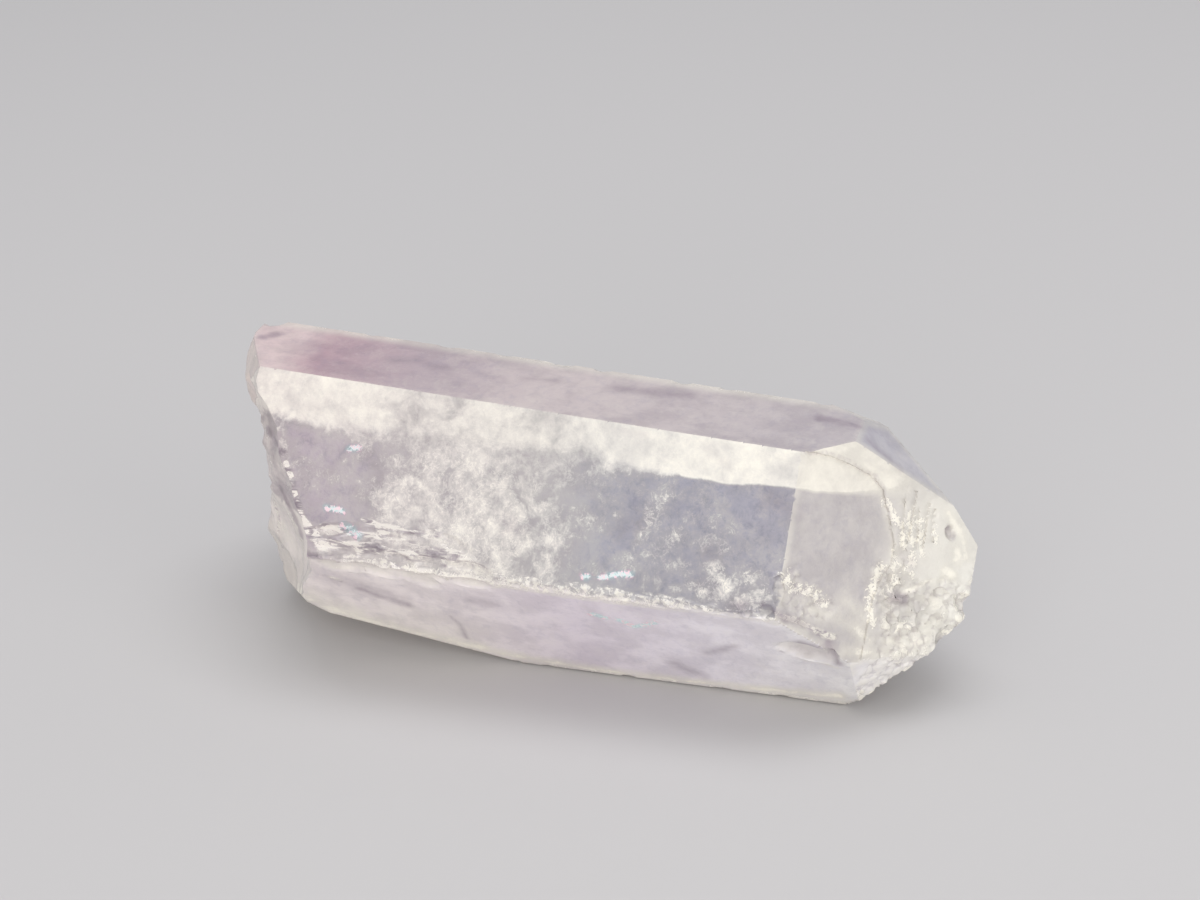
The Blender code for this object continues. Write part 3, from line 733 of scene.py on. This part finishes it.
class QuartzNodes(Nodes):
    """The crystal's finish: the noises that break up its marks, and what is made of them."""

    def __init__(self, name):
        super().__init__(name)
        self.clouds = self.noise((0.26, 0.30, 0.30), 6, 0.62, 0.5)
        self.wisps = self.noise((0.9, 0.8, 0.8), 5, 0.64, 1.2, 3.1)
        self.fibres = self.noise((0.50, 0.42, 0.42), 6, 0.66, 0.9, 9.0)
        self.grain = self.noise((1.6, 1.6, 1.6), 4, 0.70, 0.6, 5.0)
        self.flakes = self.noise((0.35, 1.5, 1.5), 4, 0.58, 0.9, 6.0)
        self.blotches = self.noise((0.75, 0.65, 0.65), 5, 0.74, 0.5, 11.0)
        self.mottle = self.ramp(self.noise((0.17, 0.21, 0.21), 5, 0.60, 0.3, 8.0), 0.25, 0.75)
        self.wide = self.ramp(self.noise((0.12, 0.16, 0.16), 4, 0.6, 0.6, 7.0), 0.30, 0.70)

    def threads(self):
        """Thin bright lines where the wisps pass through their middle value."""
        off = self.math("ABSOLUTE", self.minus(self.wisps, 0.5))
        return self.ramp(off, 0.0, 0.030, 1.0, 0.0)

    def reflection_band(self):
        """The painted reflection, with its border as loose and soft as it is frayed."""
        fray = self.mark("fray")
        loose = self.times(self.minus(self.clouds, 0.5), self.times(fray, 0.85))
        soft = self.times(fray, 0.60)
        value = self.plus(self.mark("reflection_band"), loose)
        return self.ramp(value, self.minus(0.47, soft), self.plus(0.53, soft))

    def texture(self):
        """Fine clouds and threads that play over the milk."""
        play = self.plus(self.about(self.clouds, -0.16, 0.18), self.about(self.fibres, -0.20, 0.22))
        play = self.plus(play, self.about(self.blotches, -0.14, 0.16))
        where = self.times(self.ramp(self.clouds, 0.35, 0.55), 0.24)
        return self.plus(play, self.times(self.threads(), where))

    def milk_and_painted_light(self):
        """Milky white under the surface, and painted light put in as milky white: the bright stripe,
        a painted reflection; the clouds, some of them a painted highlight along the lower edge;
        wisps; and a fine texture over all.
        """
        reflection_band = self.reflection_band()
        fray = self.mark("fray")
        level = self.greatest(
            self.times(reflection_band, self.minus(self.about(self.clouds, 0.70, 0.86), self.times(fray, 0.14))),
            self.times(self.frayed("milk_and_painted_light", self.clouds, 1.0, 0.00, 1.15), self.mark("milky")),
            self.times(self.frayed("wisp", self.wisps, 1.6, 0.02, 1.05), 0.75),
            self.times(fray, self.plus(0.45, self.times(self.wide, 0.14))),
        )
        calm = self.minus(1.0, self.greatest(self.times(reflection_band, 0.80), self.times(fray, 0.38)))
        play = self.times(self.times(self.texture(), self.mark("veiled")), calm)
        return self.math("ADD", level, play, clamp=True)

    def ledges(self, low, high, at_low, at_high):
        """The ledges, at one value where the flakes are low and at another where they are high."""
        broken = self.ramp(self.flakes, low, high, at_low, at_high)
        return self.times(self.ramp(self.mark("ledge"), 0.06, 0.60), broken)

    def white(self):
        """White on the surface: chips, grains, ledges, rubbed edges and lumps, which are paler on
        their tops than in their hollows as painted shade, and a painted highlight on the rims.
        """
        grain = self.grain
        rise = self.ramp(self.mark("rise"), 0.05, 0.60, 0.45, 1.0)
        lump_tone_and_top_light = self.times(self.about(self.mark("lump"), 0.40, 0.95), rise)
        crest = self.frayed("crest", self.flakes, 2.2, 0.20, 0.80)
        granular = self.ramp(grain, 0.36, 0.62, 0.20, 1.0)
        return self.greatest(
            self.ledges(0.38, 0.56, 0.15, 0.74),
            self.times(self.frayed("fleck", grain, 2.6, 0.24, 0.90), 0.85),
            self.times(self.frayed("grain", grain, 4.0, 0.40, 0.95), 0.88),
            self.times(crest, self.about(grain, 0.30, 0.95)),
            self.times(self.mark("rough"), self.times(lump_tone_and_top_light, self.about(grain, 0.60, 1.05))),
            self.times(self.times(self.mark("edge"), 0.30), granular),
            # Painted highlight along the rims.
            self.times(self.mark("rim_highlight"), self.about(self.clouds, 0.45, 0.80)),
            self.times(self.mark("broken"), self.about(self.clouds, 0.30, 0.68)),
        )

    def dark(self):
        """Darker places: the shade marks, and painted shade in the groove, in the gaps between the
        ledges and in the hollows between the lumps.
        """
        return self.greatest(
            # Painted shade in the gaps between the ledges.
            self.ledges(0.36, 0.50, 1.0, 0.0),
            self.frayed("shade", self.clouds, 2.0, 0.08, 0.75),
            # Painted shade along the groove.
            self.times(self.frayed("groove", self.grain, 1.4, 0.25, 0.70), 0.45),
            # Painted shade in the hollows between the lumps.
            self.times(self.mark("rough"), self.ramp(self.mark("rise"), 0.05, 0.40, 0.40, 0.0)),
        )

    def colour(self, cream):
        """The faces' tints with their mottling, and the marks' tones over them: cream for the milky
        marks, the painted reflection and the painted highlight, and the SHADE tone for the shade
        marks and the painted shade.
        """
        tint = self.add("ShaderNodeAttribute", attribute_name="tint").outputs["Color"]
        mauve = self.times(self.ramp(self.mottle, 0.0, 1.0, 0.17, 0.0), self.mark("mauve"))
        colour = self.mix(mauve, tint, tone(*MAUVE))
        clear = self.minus(self.mark("veiled"), self.times(self.mark("fray"), 0.6))
        indigo = self.times(self.ramp(self.blotches, 0.34, 0.52, 0.42, 0.0), clear)
        colour = self.mix(indigo, colour, tone(*INDIGO))
        colour = self.mix(cream, colour, tone(*CREAM))
        cold, warm = (tone(*part) for part in RAINBOW)
        rainbow = self.mix(self.ramp(self.grain, 0.46, 0.60), cold, warm)
        sparkle = self.times(self.frayed("fleck", self.grain, 1.8, 0.20, 0.70), 0.50)
        colour = self.mix(sparkle, colour, rainbow)
        return self.mix(self.times(self.dark(), 0.55), colour, tone(*SHADE))

    def absorb(self):
        node = self.add("ShaderNodeVolumeAbsorption")
        node.inputs["Color"].default_value = ABSORPTION
        node.inputs["Density"].default_value = ABSORPTION_DENSITY
        self.put(self.output.inputs["Volume"], node.outputs[0])

    def bump(self):
        """Unevenness too fine for the mesh."""
        node = self.add("ShaderNodeBump")
        node.inputs["Strength"].default_value = BUMP_STRENGTH
        node.inputs["Distance"].default_value = BUMP_DISTANCE
        self.put(node.inputs["Height"], self.noise((2.2, 2.2, 2.2), 4, 0.6))
        self.put(self.shader.inputs["Normal"], node.outputs[0])


def quartz_material():
    m = QuartzNodes("clear_quartz")
    white = m.white()
    cream = m.greatest(m.milk_and_painted_light(), white)
    m.put(m.shader.inputs["Base Color"], m.colour(cream))
    solid = m.greatest(m.times(m.mark("haze"), m.about(m.mottle, 0.95, 1.05)), cream)
    m.put(m.shader.inputs["Transmission Weight"], m.ramp(solid, 0.0, 1.0, CLEAREST, WHITEST))
    rough = m.greatest(m.ramp(white, 0.0, 1.0, GLOSSY, CHIPPED), m.times(m.mark("frost"), ETCHED))
    m.put(m.shader.inputs["Roughness"], rough)
    m.shader.inputs["IOR"].default_value = QUARTZ_IOR
    m.bump()
    m.absorb()
    return m.material


# ---- The pieces --------------------------------------------------------------------------


def write_marks(mesh, marks, tint):
    """Keeps the values and the tint on the mesh's points, where the material reads them."""
    for name, values in marks.items():
        layer = mesh.attributes.new(name, "FLOAT", "POINT")
        layer.data.foreach_set("value", values.astype(np.float32))
    layer = mesh.attributes.new("tint", "FLOAT_VECTOR", "POINT")
    layer.data.foreach_set("vector", tint.astype(np.float32).ravel())


def make_crystal():
    mesh = dense_mesh(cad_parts[NODE])
    points = in_crystal(read_points(mesh))
    marks, tint = marks_of(mesh, points)
    roughen(mesh, points, marks)
    write_marks(mesh, marks, tint)
    crystal = bpy.data.objects.new("quartz_crystal", mesh)
    bpy.context.collection.objects.link(crystal)
    mesh.materials.clear()
    mesh.materials.append(quartz_material())
    mesh.shade_smooth()
    mesh.set_sharp_from_angle(angle=math.radians(SHARP_ANGLE))
    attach(crystal, "root")
    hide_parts(NODE)


# ---- Stage, light and camera ---------------------------------------------------------------


def make_floor():
    mesh = bmesh.new()
    bmesh.ops.create_grid(mesh, x_segments=1, y_segments=1, size=FLOOR_REACH)
    data = bpy.data.meshes.new("floor")
    mesh.to_mesh(data)
    mesh.free()
    floor = bpy.data.objects.new("floor", data)
    floor.location.z = -FLOOR_DROP
    bpy.context.collection.objects.link(floor)
    material = bpy.data.materials.new("floor")
    material.use_nodes = True
    shader = material.node_tree.nodes["Principled BSDF"]
    shader.inputs["Base Color"].default_value = tone(*FLOOR_TONE)
    shader.inputs["Roughness"].default_value = 0.85
    data.materials.append(material)


def make_light(name, place, aim, size, power, colour):
    data = bpy.data.lights.new(name, "AREA")
    data.shape = "RECTANGLE"
    data.size, data.size_y = size
    data.energy = power
    data.color = colour
    light = bpy.data.objects.new(name, data)
    light.visible_camera = False
    light.location = place
    light.rotation_euler = (Vector(place) - Vector(aim)).to_track_quat("Z", "Y").to_euler()
    bpy.context.collection.objects.link(light)


def make_lights():
    world = bpy.data.worlds.new("studio")
    world.use_nodes = True
    background = world.node_tree.nodes["Background"]
    background.inputs["Color"].default_value = SKY
    background.inputs["Strength"].default_value = SKY_STRENGTH
    bpy.context.scene.world = world
    bpy.context.scene.view_settings.view_transform = "Standard"
    for light in LIGHTS:
        make_light(*light)


def make_camera():
    data = bpy.data.cameras.new("camera")
    data.lens = CAMERA_LENS
    data.sensor_width = CAMERA_SENSOR
    data.clip_start = 0.01
    camera = bpy.data.objects.new("camera", data)
    az, el, roll = (math.radians(a) for a in (CAMERA_AZIMUTH, CAMERA_ELEVATION, CAMERA_ROLL))
    back = Vector((math.cos(el) * math.sin(az), -math.cos(el) * math.cos(az), math.sin(el)))
    side = Vector((math.cos(az), math.sin(az), 0))
    right = side * math.cos(roll) + back.cross(side) * math.sin(roll)
    turn = Matrix((right, back.cross(right), back)).transposed()
    camera.matrix_world = Matrix.Translation(CAMERA_EYE) @ turn.to_4x4()
    bpy.context.collection.objects.link(camera)
    bpy.context.scene.camera = camera


make_crystal()
make_floor()
make_lights()
make_camera()
